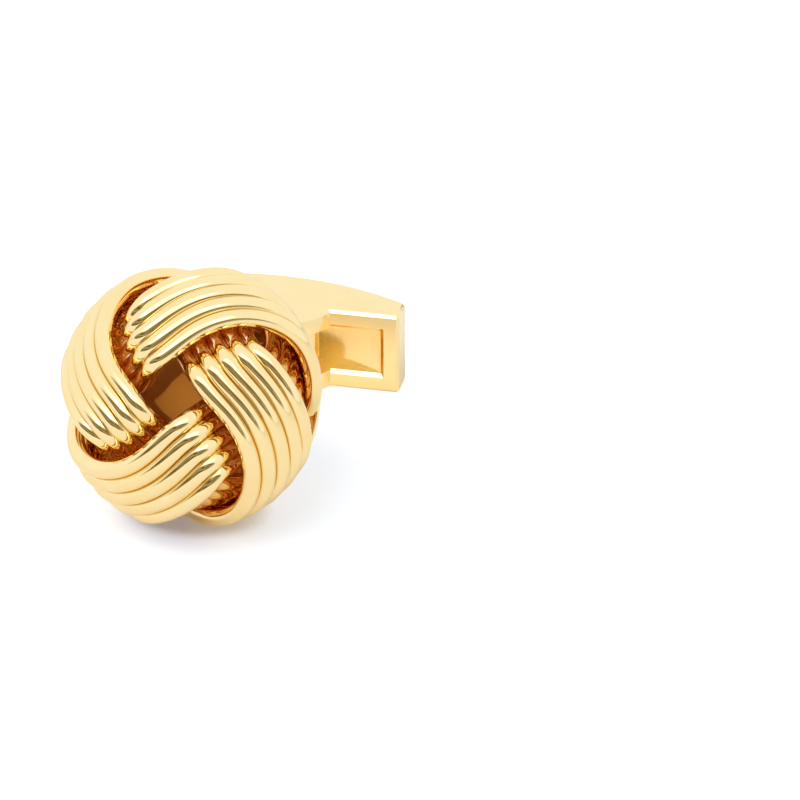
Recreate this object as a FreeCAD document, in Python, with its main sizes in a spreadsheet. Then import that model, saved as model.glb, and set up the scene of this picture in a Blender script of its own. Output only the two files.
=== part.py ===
import FreeCAD, Part
import math
import os

Vector = FreeCAD.Vector
DOC = FreeCAD.newDocument("knot_cufflink")

# Driving sizes in millimetres and degrees, each one cell of the sheet.
SIZES = (
    ("wire_diameter", 0.93, "round wire of the woven knot"),
    ("wire_pitch", 0.97, "centre to centre of neighbouring wires in a band"),
    ("weave_radius", 6.98, "mean surface of the weave, across"),
    ("weave_depth", 5.26, "mean surface of the weave, centre to front"),
    ("weave_rise", 0.80, "how far a band lifts over or dips under its neighbour"),
    ("band_reach", 6.00, "rim to band centre at its highest, along the surface"),
    ("band_turn_ratio", 1.137, "how quickly a band returns to the rim"),
    ("band_drift", -0.0142, "lean of the band across the turn, per degree"),
    ("band_start_angle", 41.9, "direction of the right-hand band seen from the front"),
    ("dive_place", 1.35, "where a wire dives, before the inner wire of the band ahead"),
    ("dive_half", 1.25, "half length of that dive"),
    ("tail_drop", 0.50, "how far a band's tail draws in at the rim"),
    ("tail_place", 1.80, "where the tail starts to draw in, over the rim"),
    ("tail_run", 2.80, "length over which the tail draws in"),
    ("tail_fall", 0.004, "how quickly the tail's end turns to the plate, per square degree"),
    ("tail_start_angle", -102.0, "turn at which the tail's end starts to fall"),
    ("wire_end_depth", 2.20, "flat back of the weave behind the knot's middle"),
    ("wire_end_gap", 0.01, "solder gap of a wire's end over the plate"),
    ("plate_radius", 7.25, "domed plate that closes the knot's back"),
    ("plate_rim", 0.45, "thickness of the plate at its rim"),
    ("plate_middle", 2.10, "thickness of the plate at the stem"),
    ("rivet_stand", 0.35, "stem end standing out of the plate inside the knot"),
    ("knot_lean", 30.0, "how far the knot looks up from the bar's plane"),
    ("post_radius", 1.15, "round stem between plate and hinge"),
    ("post_bend", 7.00, "bend radius of the stem"),
    ("collar_radius", 2.30, "collar at the stem's root"),
    ("collar_neck", 1.50, "collar's narrow end"),
    ("collar_length", 1.30, "collar along the stem"),
    ("tongue_length", 3.60, "flat tongue ahead of the hinge"),
    ("tongue_side", 1.20, "hinge centre to the tongue's flats"),
    ("tongue_round", 0.45, "rounding of the tongue's corners"),
    ("hinge_distance", 15.40, "hinge centre behind the knot's middle"),
    ("pin_radius", 0.75, "hinge pin"),
    ("pin_clearance", 0.05, "play of the pin in the tongue, all round"),
    ("side_clearance", 0.08, "play of the tongue between the rails, each side"),
    ("bar_half_length", 9.00, "half the toggle bar"),
    ("bar_height", 5.60, "height of the toggle bar"),
    ("bar_middle", 4.50, "thickness of the bar's middle"),
    ("bar_back_radius", 18.20, "curve of the bar's back"),
    ("hinge_lead", 1.35, "hinge centre ahead of the bar's front face"),
    ("hump_front", 1.30, "hinge centre to the front of the bar's hump"),
    ("hump_root", 4.40, "where the hump meets the wing"),
    ("trough_depth", 1.52, "trough in the bar's front face, at its middle"),
    ("trough_curve", 25.00, "curve of the trough's floor"),
    ("rail_height", 1.25, "rail above and below the trough"),
    ("end_wall", 1.25, "wall at each end of the trough"),
    ("edge_break", 0.25, "bright bevel on the bar's edges and round the trough"),
    ("spring_gauge", 0.30, "leaf spring thickness"),
    ("spring_side", 0.06, "gap of the leaf spring beside each rail"),
    ("spring_half", 3.20, "half the leaf spring"),
    ("cam_clearance", 0.03, "leaf spring to the tongue's turning corner"),
)

SHEET = DOC.addObject("Spreadsheet::Sheet", "size")
for row, (alias, value, note) in enumerate(SIZES, start=1):
    SHEET.set("A%d" % row, alias)
    SHEET.set("B%d" % row, str(value))
    SHEET.set("C%d" % row, note)
    SHEET.setAlias("B%d" % row, alias)
DOC.recompute()


def size(alias):
    return float(SHEET.get(alias))


# Weave: every band starts under the band ahead of it, dives up past that
# band's inner wire, runs over the front of a flattened ball and round its rim.
ACROSS = size("weave_radius")
DEEP = size("weave_depth")
RISE = size("weave_rise")
PITCH = size("wire_pitch")
WIRE_RADIUS = size("wire_diameter") / 2
BAND_NAMES = ("right", "top", "left", "bottom")
BAND_STEP_ANGLE = 90.0
WIRES_IN_BAND = 5
INNER_PLACE = WIRES_IN_BAND // 2
OFFSET_STEPS = 6
STATION_ANGLE = 5.0
SEARCH_ANGLE = 4.0
LONGEST_ANGLE = 150.0
END_SPARE = 0.5
PLATE_FACE = size("wire_end_gap") - size("wire_end_depth")
OVER_ANGLE = -60.0
MERIDIAN_STEPS = 600


def meridian_table():
    # Distance from the rim along a meridian for each slope angle.
    table = [0.0]
    step = (math.pi / 2) / MERIDIAN_STEPS
    for index in range(MERIDIAN_STEPS):
        middle = (index + 0.5) * step
        table.append(table[-1] + step * math.hypot(ACROSS * math.sin(middle), DEEP * math.cos(middle)))
    return table


MERIDIAN = meridian_table()


def meridian_angle(distance):
    wanted = min(abs(distance), MERIDIAN[-1])
    low = 0
    high = MERIDIAN_STEPS
    while high - low > 1:
        middle = (low + high) // 2
        if MERIDIAN[middle] <= wanted:
            low = middle
        else:
            high = middle
    share = (wanted - MERIDIAN[low]) / (MERIDIAN[high] - MERIDIAN[low])
    return math.copysign((low + share) * (math.pi / 2) / MERIDIAN_STEPS, distance)


def over_rim(point):
    # Distance of a surface point from the rim, along its meridian.
    slope = math.atan2(point.z / DEEP, math.hypot(point.x, point.y) / ACROSS)
    place = min(abs(slope) / (math.pi / 2) * MERIDIAN_STEPS, MERIDIAN_STEPS - 1e-6)
    low = int(place)
    run = MERIDIAN[low] + (place - low) * (MERIDIAN[low + 1] - MERIDIAN[low])
    return math.copysign(run, slope)


def outward(point):
    slope = Vector(point.x / ACROSS ** 2, point.y / ACROSS ** 2, point.z / DEEP ** 2)
    return slope.normalize()


def onto_surface(point):
    for _ in range(4):
        slope = Vector(point.x / ACROSS ** 2, point.y / ACROSS ** 2, point.z / DEEP ** 2)
        miss = point.x * slope.x + point.y * slope.y + point.z * slope.z - 1
        point = point - slope * (miss / (2 * slope.Length ** 2))
    return point


def band_centre(turn):
    reach = size("band_reach") * math.cos(math.radians(turn * size("band_turn_ratio")))
    reach += size("band_drift") * turn
    reach -= size("tail_fall") * max(0.0, size("tail_start_angle") - turn) ** 2
    slope = meridian_angle(reach)
    around = math.radians(turn)
    ring = ACROSS * math.cos(slope)
    return Vector(ring * math.cos(around), ring * math.sin(around), DEEP * math.sin(slope))


def eased(share):
    return math.sin(math.pi / 2 * max(-1.0, min(1.0, share)))


def softened(share):
    share = max(0.0, min(1.0, share))
    return share * share * (3 - 2 * share)


def level_lift(spot, turn):
    return RISE


def stepped(turn, place, height_at):
    # A surface point a number of pitches to the pole's side of the band's
    # centre, stepped so that the pitch holds at the wire's own height.
    run = (band_centre(turn + 0.05) - band_centre(turn - 0.05)).normalize()
    spot = band_centre(turn)
    side = outward(spot).cross(run)
    if place < 0:
        side = side * -1
    step = PITCH / OFFSET_STEPS
    for _ in range(abs(place) * OFFSET_STEPS):
        height = height_at(spot, turn)
        here = spot + outward(spot) * height
        trial = onto_surface(spot + side * step)
        there = trial + outward(trial) * height
        spot = onto_surface(spot + side * (step * step / (there - here).Length))
        up = outward(spot)
        side = side - up * side.dot(up)
        side.normalize()
    return spot, side


def line_ahead():
    # Inner wire of the band ahead, with its direction towards the pole.
    ahead = FreeCAD.Rotation(Vector(0, 0, 1), BAND_STEP_ANGLE)
    line = []
    for turn in range(-140, 81):
        spot, side = stepped(turn, INNER_PLACE, level_lift)
        line.append((ahead.multVec(spot), ahead.multVec(side)))
    return line


LINE_AHEAD = line_ahead()


def gap_ahead(spot):
    # Distance to that wire, negative under the band ahead.
    nearest, side = min(LINE_AHEAD, key=lambda pair: (pair[0] - spot).Length)
    gap = spot - nearest
    return math.copysign(gap.Length, gap.dot(side))


def lift(spot, turn):
    level = 1.0
    if turn > OVER_ANGLE:
        level = eased((gap_ahead(spot) - size("dive_place")) / size("dive_half"))
    tail = 0.0
    if turn < 0:
        tail = size("tail_drop") * softened((size("tail_place") - over_rim(spot)) / size("tail_run"))
    return RISE * level - tail


def wire_point(turn, place):
    spot, side = stepped(turn, place, lift)
    return spot + outward(spot) * lift(spot, turn)


def tangent(turn, place):
    step = wire_point(turn + 0.2, place) - wire_point(turn - 0.2, place)
    return step.normalize()


def end_height(turn, place):
    # Height of the highest edge of a wire's square end over the back plate.
    slant = tangent(turn, place).z
    return wire_point(turn, place).z + WIRE_RADIUS * math.sqrt(1 - slant ** 2) - PLATE_FACE


def end_turn(place, sign):
    # The turn at which the wire's square end has gone below the plate's face.
    near = -OVER_ANGLE
    while near < LONGEST_ANGLE and end_height(sign * (near + SEARCH_ANGLE), place) > 0:
        near += SEARCH_ANGLE
    far = near + SEARCH_ANGLE
    for _ in range(20):
        middle = (near + far) / 2
        if end_height(sign * middle, place) > 0:
            near = middle
        else:
            far = middle
    return sign * (far + END_SPARE)


def stations(place):
    first = end_turn(place, -1)
    last = end_turn(place, 1)
    count = int(math.ceil((last - first) / STATION_ANGLE))
    return [first + (last - first) * index / count for index in range(count + 1)]


def arc_edge(start, corner, stop):
    chord = stop - start
    middle = (start + stop) * 0.5
    bend = (chord.Length / 2) / (corner - start).Length
    if bend > 0.999999:
        return Part.LineSegment(start, stop).toShape()
    crown = middle + (corner - middle) * (bend / (1 + bend))
    return Part.Arc(start, crown, stop).toShape()


def two_arcs(start, leave, stop, arrive):
    # Two arcs that meet smoothly and keep both end directions.
    span = stop - start
    both = leave + arrive
    along = span.dot(both)
    twist = 2 * (1 - leave.dot(arrive))
    if twist < 1e-9:
        reach = span.dot(span) / (2 * along)
    else:
        reach = (math.sqrt(along ** 2 + twist * span.dot(span)) - along) / twist
    first = start + leave * reach
    second = stop - arrive * reach
    joint = (first + second) * 0.5
    return [arc_edge(start, first, joint), arc_edge(joint, second, stop)]


def wire_solid(place):
    turns = stations(place)
    points = [wire_point(turn, place) for turn in turns]
    directions = [tangent(turn, place) for turn in turns]
    edges = []
    for index in range(len(turns) - 1):
        edges += two_arcs(points[index], directions[index], points[index + 1], directions[index + 1])
    spine = Part.Wire(edges)
    section = Part.Wire([Part.makeCircle(WIRE_RADIUS, points[0], directions[0])])
    strand = spine.makePipeShell([section], True, False)
    reach = 2 * ACROSS
    below = Part.makeBox(2 * reach, 2 * reach, reach, Vector(-reach, -reach, PLATE_FACE - reach))
    trimmed = strand.cut(below).Solids
    if len(trimmed) != 1:
        raise RuntimeError("wire %d is not one solid when its ends are trimmed" % place)
    return trimmed[0], [point for point in points if point.z > PLATE_FACE]


def to_world(point, lean):
    up = point.y * math.cos(lean) + point.z * math.sin(lean)
    back = point.y * math.sin(lean) - point.z * math.cos(lean)
    return Vector(point.x, back, up)


WIRE_SHAPES = []
WIRE_PATHS = []
for place in range(-(WIRES_IN_BAND // 2), WIRES_IN_BAND // 2 + 1):
    shape, points = wire_solid(place)
    WIRE_SHAPES.append(shape)
    WIRE_PATHS.append(points)

LEAN = math.radians(size("knot_lean"))
TIP = FreeCAD.Rotation(Vector(1, 0, 0), 90.0 - size("knot_lean"))
BAND_ANGLES = [size("band_start_angle") + BAND_STEP_ANGLE * index for index in range(len(BAND_NAMES))]


# Back plate: flat in front, domed behind, with a flat seat for the collar.
PLATE_FRONT = size("wire_end_depth")
PLATE_BACK = PLATE_FRONT + size("plate_middle")
DOME_SAMPLES = 400


def dome_point(share):
    # A point of the dome, from the rim at 0 to the collar's seat at 1.
    widest = size("plate_radius")
    angle = share * math.acos(size("collar_radius") / widest)
    fall = (size("plate_middle") - size("plate_rim")) * math.sin(angle) / math.sin(
        math.acos(size("collar_radius") / widest))
    return Vector(widest * math.cos(angle), 0, -PLATE_FRONT - size("plate_rim") - fall)


DOME = Part.Arc(dome_point(0), dome_point(0.5), dome_point(1)).toShape()


def knot_extent():
    # Lowest and foremost reach of the knot about its middle, wires and plate.
    low = 0.0
    front = 0.0
    for angle in BAND_ANGLES:
        spin = FreeCAD.Rotation(Vector(0, 0, 1), angle)
        for points in WIRE_PATHS:
            for point in points:
                spot = to_world(spin.multVec(point), LEAN)
                low = min(low, spot.z - WIRE_RADIUS)
                front = min(front, spot.y - WIRE_RADIUS)
    for spot in DOME.discretize(DOME_SAMPLES):
        low = min(low, spot.z * math.sin(LEAN) - spot.x * math.cos(LEAN))
    return low, front


KNOT_LOW, KNOT_FRONT = knot_extent()
BAR_BACK = size("hinge_distance") + size("hinge_lead") + size("bar_middle")

# Where the knot's middle and the hinge stand, with the origin on the floor
# under the middle of the whole cufflink.
PLACES = (
    ("knot_height", -KNOT_LOW, "knot's middle above the floor"),
    ("knot_place", -(KNOT_FRONT + BAR_BACK) / 2, "knot's middle from the origin, front to back"),
)
for row, (alias, value, note) in enumerate(PLACES, start=len(SIZES) + 1):
    SHEET.set("A%d" % row, alias)
    SHEET.set("B%d" % row, "%.4f" % value)
    SHEET.set("C%d" % row, note)
    SHEET.setAlias("B%d" % row, alias)
DERIVED = (
    ("hinge_place", "=knot_place + hinge_distance"),
    ("bar_front", "=knot_place + hinge_distance + hinge_lead"),
    ("post_height", "=bar_height / 2"),
    ("trough_height", "=bar_height - 2 * rail_height"),
    ("tongue_height", "=trough_height - 2 * side_clearance"),
    ("stem_drop", "=(knot_height - post_height) / sin(knot_lean * 1deg)"),
    ("corner_place", "=knot_place + stem_drop * cos(knot_lean * 1deg)"),
    ("bend_run", "=post_bend * tan(knot_lean * 1deg / 2)"),
    ("cam_reach", "=tongue_side * sqrt(2) - tongue_round * (sqrt(2) - 1)"),
    ("spring_face", "=hinge_place + cam_reach + cam_clearance"),
    ("hump_lead", "=hinge_lead + hump_front"),
    ("hump_radius", "=(hump_root ^ 2 + hump_lead ^ 2) / (2 * hump_lead)"),
    ("trough_half", "=bar_half_length - end_wall"),
    ("floor_rise", "=trough_curve - sqrt(trough_curve ^ 2 - spring_half ^ 2)"),
    ("spring_seat", "=bar_front + trough_depth - floor_rise"),
    ("spring_bow", "=spring_seat - spring_gauge - spring_face"),
    ("spring_radius", "=(spring_half ^ 2 + spring_bow ^ 2) / (2 * spring_bow)"),
)
for row, (alias, formula) in enumerate(DERIVED, start=len(SIZES) + len(PLACES) + 1):
    SHEET.set("A%d" % row, alias)
    SHEET.set("B%d" % row, formula)
    SHEET.setAlias("B%d" % row, alias)
DOC.recompute()

NODES = []


def make(kind, name, sizes=None, place=None):
    thing = DOC.addObject(kind, name)
    for prop, rule in (sizes or {}).items():
        thing.setExpression(prop, rule)
    for axis, rule in (place or {}).items():
        thing.setExpression("Placement.Base." + axis, rule)
    return thing


def combine(kind, name, shapes):
    thing = DOC.addObject(kind, name)
    thing.Shapes = shapes
    return thing


def take_away(name, base, tool):
    thing = DOC.addObject("Part::Cut", name)
    thing.Base = base
    thing.Tool = tool
    return thing


def keep(thing, label):
    thing.Label = label
    NODES.append(thing)
    return thing


def leaned(thing, turn=0.0):
    # Stand a piece of the knot, drawn about its own axis, into the cufflink.
    spin = FreeCAD.Rotation(Vector(0, 0, 1), turn)
    stand = Vector(0, size("knot_place"), size("knot_height"))
    thing.Placement = FreeCAD.Placement(stand, TIP.multiply(spin))
    thing.setExpression("Placement.Base.y", "size.knot_place")
    thing.setExpression("Placement.Base.z", "size.knot_height")
    return thing


for band, angle in zip(BAND_NAMES, BAND_ANGLES):
    for number, shape in enumerate(WIRE_SHAPES, start=1):
        label = "%s_band_wire_%d" % (band, number)
        strand = DOC.addObject("Part::Feature", label)
        strand.Shape = shape
        leaned(strand, angle)
        keep(strand, label)


RIM_FRONT = Vector(size("plate_radius"), 0, -PLATE_FRONT)
RIM_BACK = dome_point(0)
SEAT_EDGE = dome_point(1)
SEAT_BORE = Vector(size("post_radius"), 0, SEAT_EDGE.z)
FRONT_BORE = Vector(size("post_radius"), 0, -PLATE_FRONT)
plate_outline = Part.Wire([
    Part.LineSegment(RIM_FRONT, RIM_BACK).toShape(),
    DOME,
    Part.LineSegment(SEAT_EDGE, SEAT_BORE).toShape(),
    Part.LineSegment(SEAT_BORE, FRONT_BORE).toShape(),
    Part.LineSegment(FRONT_BORE, RIM_FRONT).toShape(),
])
back_plate = DOC.addObject("Part::Feature", "back_plate")
back_plate.Shape = Part.Face(plate_outline).revolve(Vector(0, 0, 0), Vector(0, 0, 1), 360)
keep(leaned(back_plate), "back_plate")

# Collar at the root of the stem, against the plate's seat.
collar_blank = make("Part::Cone", "collar_blank", {
    "Radius1": "size.collar_neck", "Radius2": "size.collar_radius", "Height": "size.collar_length"})
collar_hole = make("Part::Cylinder", "collar_hole", {
    "Radius": "size.post_radius", "Height": "size.collar_length"})
collar = take_away("post_collar", collar_blank, collar_hole)
along = Vector(0, math.cos(LEAN), -math.sin(LEAN))
collar_stand = Vector(0, size("knot_place"), size("knot_height"))
collar_stand = collar_stand + along * (PLATE_BACK + size("collar_length"))
collar.Placement = FreeCAD.Placement(collar_stand, TIP)
keep(collar, "post_collar")

# Post: leaning stem, bend, level stem and the flat tongue that turns on the pin.
stem_front = make("Part::Cylinder", "stem_front", {
    "Radius": "size.post_radius",
    "Height": "size.stem_drop - size.bend_run - size.wire_end_depth + size.rivet_stand"})
stem_top = Vector(0, size("knot_place"), size("knot_height"))
stem_top = stem_top + along * (size("stem_drop") - size("bend_run"))
stem_front.Placement = FreeCAD.Placement(stem_top, TIP)
bend = make("Part::Torus", "stem_bend", {
    "Radius1": "size.post_bend", "Radius2": "size.post_radius", "Angle3": "size.knot_lean"})
bend_middle = Vector(0, size("corner_place") + size("bend_run"), size("post_height") + size("post_bend"))
bend.Placement = FreeCAD.Placement(bend_middle, FreeCAD.Rotation(
    Vector(0, -math.sin(LEAN), -math.cos(LEAN)),
    Vector(0, math.cos(LEAN), -math.sin(LEAN)),
    Vector(1, 0, 0), "XYZ"))
stem_level = make("Part::Cylinder", "stem_level", {
    "Radius": "size.post_radius",
    "Height": "size.hinge_place - size.corner_place - size.bend_run"},
    {"y": "size.corner_place + size.bend_run", "z": "size.post_height"})
stem_level.Placement = FreeCAD.Placement(stem_level.Placement.Base, FreeCAD.Rotation(Vector(1, 0, 0), -90))
tongue_block = make("Part::Box", "tongue_block", {
    "Length": "2 * size.tongue_side",
    "Width": "size.tongue_length + size.tongue_side",
    "Height": "size.tongue_height"},
    {"x": "-size.tongue_side", "y": "size.hinge_place - size.tongue_length",
     "z": "size.rail_height + size.side_clearance"})
DOC.recompute()
tongue = DOC.addObject("Part::Fillet", "tongue_rounded")
tongue.Base = tongue_block
upright = [index for index, edge in enumerate(tongue_block.Shape.Edges, start=1)
           if abs(edge.tangentAt(edge.FirstParameter).z) > 0.9]
tongue.Edges = [(index, size("tongue_round"), size("tongue_round")) for index in upright]
post_blank = combine("Part::MultiFuse", "post_blank", [stem_front, bend, stem_level, tongue])
pin_bore = make("Part::Cylinder", "pin_bore", {
    "Radius": "size.pin_radius + size.pin_clearance", "Height": "size.bar_height"},
    {"y": "size.hinge_place"})
post = take_away("post", post_blank, pin_bore)
keep(post, "post")

# Toggle bar: whale-backed bar with a hump for the hinge, a trough and bevelled edges.
bar_block = make("Part::Box", "bar_block", {
    "Length": "2 * size.bar_half_length", "Width": "size.bar_middle", "Height": "size.bar_height"},
    {"x": "-size.bar_half_length", "y": "size.bar_front"})
bar_curve = make("Part::Cylinder", "bar_curve", {
    "Radius": "size.bar_back_radius", "Height": "size.bar_height"},
    {"y": "size.bar_front + size.bar_middle - size.bar_back_radius"})
bar_whale = combine("Part::MultiCommon", "bar_whale", [bar_block, bar_curve])
hump_curve = make("Part::Cylinder", "hump_curve", {
    "Radius": "size.hump_radius", "Height": "size.bar_height"},
    {"y": "size.bar_front - size.hump_lead + size.hump_radius"})
hump_zone = make("Part::Box", "hump_zone", {
    "Length": "2 * size.hump_root", "Width": "size.hump_lead + 1", "Height": "size.bar_height"},
    {"x": "-size.hump_root", "y": "size.bar_front - size.hump_lead"})
hump = combine("Part::MultiCommon", "hump", [hump_curve, hump_zone])
bar_body = combine("Part::MultiFuse", "bar_body", [bar_whale, hump])
bar_body.Refine = True
DOC.recompute()


def bar_bevel_edges(shape):
    # Outline edges of the bar's top and bottom faces and its four end corners.
    chosen = []
    top = size("bar_height")
    for index, edge in enumerate(shape.Edges, start=1):
        box = edge.BoundBox
        level = box.ZLength < 1e-6 and (abs(box.ZMin) < 1e-6 or abs(box.ZMin - top) < 1e-6)
        at_end = box.ZLength > 1 and abs(abs(box.Center.x) - size("bar_half_length")) < 1e-6
        if level or at_end:
            chosen.append(index)
    return chosen


bar_bevelled = DOC.addObject("Part::Chamfer", "bar_bevelled")
bar_bevelled.Base = bar_body
BEVEL = size("edge_break")
bar_bevelled.Edges = [(index, BEVEL, BEVEL) for index in bar_bevel_edges(bar_body.Shape)]
trough_block = make("Part::Box", "trough_block", {
    "Length": "2 * size.trough_half",
    "Width": "size.hump_lead + size.trough_depth + 1",
    "Height": "size.trough_height"},
    {"x": "-size.trough_half", "y": "size.bar_front - size.hump_lead - 1", "z": "size.rail_height"})
trough_floor = make("Part::Cylinder", "trough_floor", {
    "Radius": "size.trough_curve", "Height": "size.bar_height"},
    {"y": "size.bar_front + size.trough_depth - size.trough_curve"})
trough = combine("Part::MultiCommon", "trough", [trough_block, trough_floor])


def rim_bevel(name, near, far, near_deep, far_deep):
    # Bevel round one wing's end of the trough, open towards the hump.
    return make("Part::Wedge", name, {
        "Xmin": near, "Xmax": far, "X2min": near_deep, "X2max": far_deep,
        "Zmin": "size.rail_height - size.edge_break",
        "Zmax": "size.bar_height - size.rail_height + size.edge_break",
        "Z2min": "size.rail_height", "Z2max": "size.bar_height - size.rail_height",
        "Ymin": "size.bar_front", "Ymax": "size.bar_front + size.edge_break"})


rim_right = rim_bevel("rim_right", "size.hump_root", "size.trough_half + size.edge_break",
                      "size.hump_root", "size.trough_half")
rim_left = rim_bevel("rim_left", "-size.trough_half - size.edge_break", "-size.hump_root",
                     "-size.trough_half", "-size.hump_root")
pin_seat = make("Part::Cylinder", "pin_seat", {"Radius": "size.pin_radius", "Height": "size.bar_height"},
                {"y": "size.hinge_place"})
bar_cuts = combine("Part::MultiFuse", "bar_cuts", [trough, rim_right, rim_left, pin_seat])
toggle_bar = take_away("toggle_bar", bar_bevelled, bar_cuts)
keep(toggle_bar, "toggle_bar")

hinge_pin = make("Part::Cylinder", "hinge_pin", {"Radius": "size.pin_radius", "Height": "size.bar_height"},
                 {"y": "size.hinge_place"})
keep(hinge_pin, "hinge_pin")

# Leaf spring: a short bowed strip that stands on the trough's floor at its ends.
spring_outer = make("Part::Cylinder", "spring_outer", {
    "Radius": "size.spring_radius + size.spring_gauge",
    "Height": "size.trough_height - 2 * size.spring_side"},
    {"y": "size.spring_face + size.spring_radius + size.spring_gauge",
     "z": "size.rail_height + size.spring_side"})
spring_inner = make("Part::Cylinder", "spring_inner", {
    "Radius": "size.spring_radius", "Height": "size.trough_height"},
    {"y": "size.spring_face + size.spring_radius + size.spring_gauge", "z": "size.rail_height"})
spring_arc = take_away("spring_arc", spring_outer, spring_inner)
spring_zone = make("Part::Box", "spring_zone", {
    "Length": "2 * size.spring_half", "Width": "size.spring_seat - size.spring_face + 0.01",
    "Height": "size.bar_height"},
    {"x": "-size.spring_half", "y": "size.spring_face - 0.01"})
leaf_spring = combine("Part::MultiCommon", "leaf_spring", [spring_arc, spring_zone])
keep(leaf_spring, "leaf_spring")

DOC.recompute()
for thing in DOC.Objects:
    if "Invalid" in thing.State or "Error" in thing.State:
        raise RuntimeError("%s did not build: %s" % (thing.Label, thing.State))
os.makedirs("parts", exist_ok=True)
for node in NODES:
    if node.Shape.isNull() or not node.Shape.isValid():
        raise RuntimeError("%s has no valid shape" % node.Label)
    if len(node.Shape.Solids) != 1:
        raise RuntimeError("%s has %d solids" % (node.Label, len(node.Shape.Solids)))
    node.Shape.exportStep("parts/%s.step" % node.Label)
    box = node.Shape.BoundBox
    print("%-22s vol %8.3f  x %6.2f..%6.2f  y %6.2f..%6.2f  z %6.2f..%6.2f" % (
        node.Label, node.Shape.Volume, box.XMin, box.XMax, box.YMin, box.YMax, box.ZMin, box.ZMax))
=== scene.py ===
"""Woven knot cufflink: a knot of polished gold wires on a bent stem with a swivelling whale-back bar."""
import bisect
import math

import bmesh
import bpy
from bpy.props import FloatProperty, FloatVectorProperty, IntProperty, PointerProperty, StringProperty
from mathutils import Matrix, Vector
from mathutils.kdtree import KDTree


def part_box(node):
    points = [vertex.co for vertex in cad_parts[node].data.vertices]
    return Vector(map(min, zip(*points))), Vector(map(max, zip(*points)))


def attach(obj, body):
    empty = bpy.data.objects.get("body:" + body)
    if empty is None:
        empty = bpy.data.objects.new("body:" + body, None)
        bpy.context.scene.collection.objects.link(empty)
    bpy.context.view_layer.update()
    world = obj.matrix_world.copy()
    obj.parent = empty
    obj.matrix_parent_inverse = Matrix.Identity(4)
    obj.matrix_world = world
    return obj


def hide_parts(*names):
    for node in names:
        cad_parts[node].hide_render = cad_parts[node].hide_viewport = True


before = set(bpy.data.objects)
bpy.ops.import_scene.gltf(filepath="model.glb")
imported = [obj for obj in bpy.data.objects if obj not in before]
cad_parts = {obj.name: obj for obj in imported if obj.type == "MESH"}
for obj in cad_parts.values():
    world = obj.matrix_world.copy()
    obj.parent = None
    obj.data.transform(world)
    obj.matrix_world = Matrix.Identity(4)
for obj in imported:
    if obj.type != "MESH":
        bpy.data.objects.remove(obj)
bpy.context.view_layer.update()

bl_info = {
    "name": "Woven Knot Cufflink",
    "version": (1, 0, 0),
    "blender": (4, 5, 0),
    "location": "View3D > Sidebar > Cufflink",
    "description": "Builds a woven knot cufflink with a swivel bar around its packed frame",
    "category": "Object",
}

MM = 0.001
BANDS = ("right", "top", "left", "bottom")
WIRES_IN_BAND = 5
PIN_LOW, PIN_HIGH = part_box("hinge_pin")
HINGE_Y = (PIN_LOW.y + PIN_HIGH.y) / 2
HINGE_TO_KNOT = 15.40 * MM
KNOT_Y = HINGE_Y - HINGE_TO_KNOT
KNOT_HUB = Vector((0, KNOT_Y, 7.6 * MM))
STAGE_TOP = Vector((0, 0, 1))
MIRROR_BOUNCES = 16
TABLE_HALF = 2.0
CARD_AWAY = 0.40
WALL_AWAY = 0.30
BEAM_AWAY = 0.30
# Runs over which the table's painted light changes, in half sizes of the knot's foot or of the warm pool: the
# painted contact shadow, the painted soft shadow round it and the painted warm pool of light.
FOOT_EDGE = (0.62, 0.95)
OPEN_TABLE = (1.5, 9.0)
POOL_EDGE = (0.5, 1.2)
SLIVER = 0.004 * MM
SAME_PLACE = 0.01 * MM
CUT_SPARE = 0.1 * MM
# Steps of a circle, of a long and a shallow curve, and of the small roundings of corners and edges.
ROUND_STEPS, LONG_STEPS, CURVE_STEPS, CORNER_STEPS, EDGE_STEPS = 64, 96, 48, 8, 5
CARD_CORNERS = ((-1, -1), (1, -1), (1, 1), (-1, 1))
# Bright cards of the tent: half width and half height in m, brightness, and the share at which each fades.
TENT_CARDS = {
    "front_glow": (0.36, 0.17, 1.65, 0.4),
    "left_window": (0.075, 0.075, 3.6, 0.8),
    "right_window": (0.06, 0.12, 2.2, 0.6),
}


def length(label, text, default):
    return FloatProperty(name=label, description=text, default=default * MM, unit="LENGTH", precision=5)


def angle(label, text, default):
    return FloatProperty(name=label, description=text, default=math.radians(default), subtype="ANGLE")


def colour(label, text, default):
    return StringProperty(name=label, description=text + ", sRGB hex", default=default)


def amount(label, text, default):
    return FloatProperty(name=label, description=text, default=default)


def position(label, text, default):
    return FloatVectorProperty(name=label, description=text, unit="LENGTH", default=default)


def heading(label, text, default):
    return FloatVectorProperty(name=label, description=text, default=default)


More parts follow.
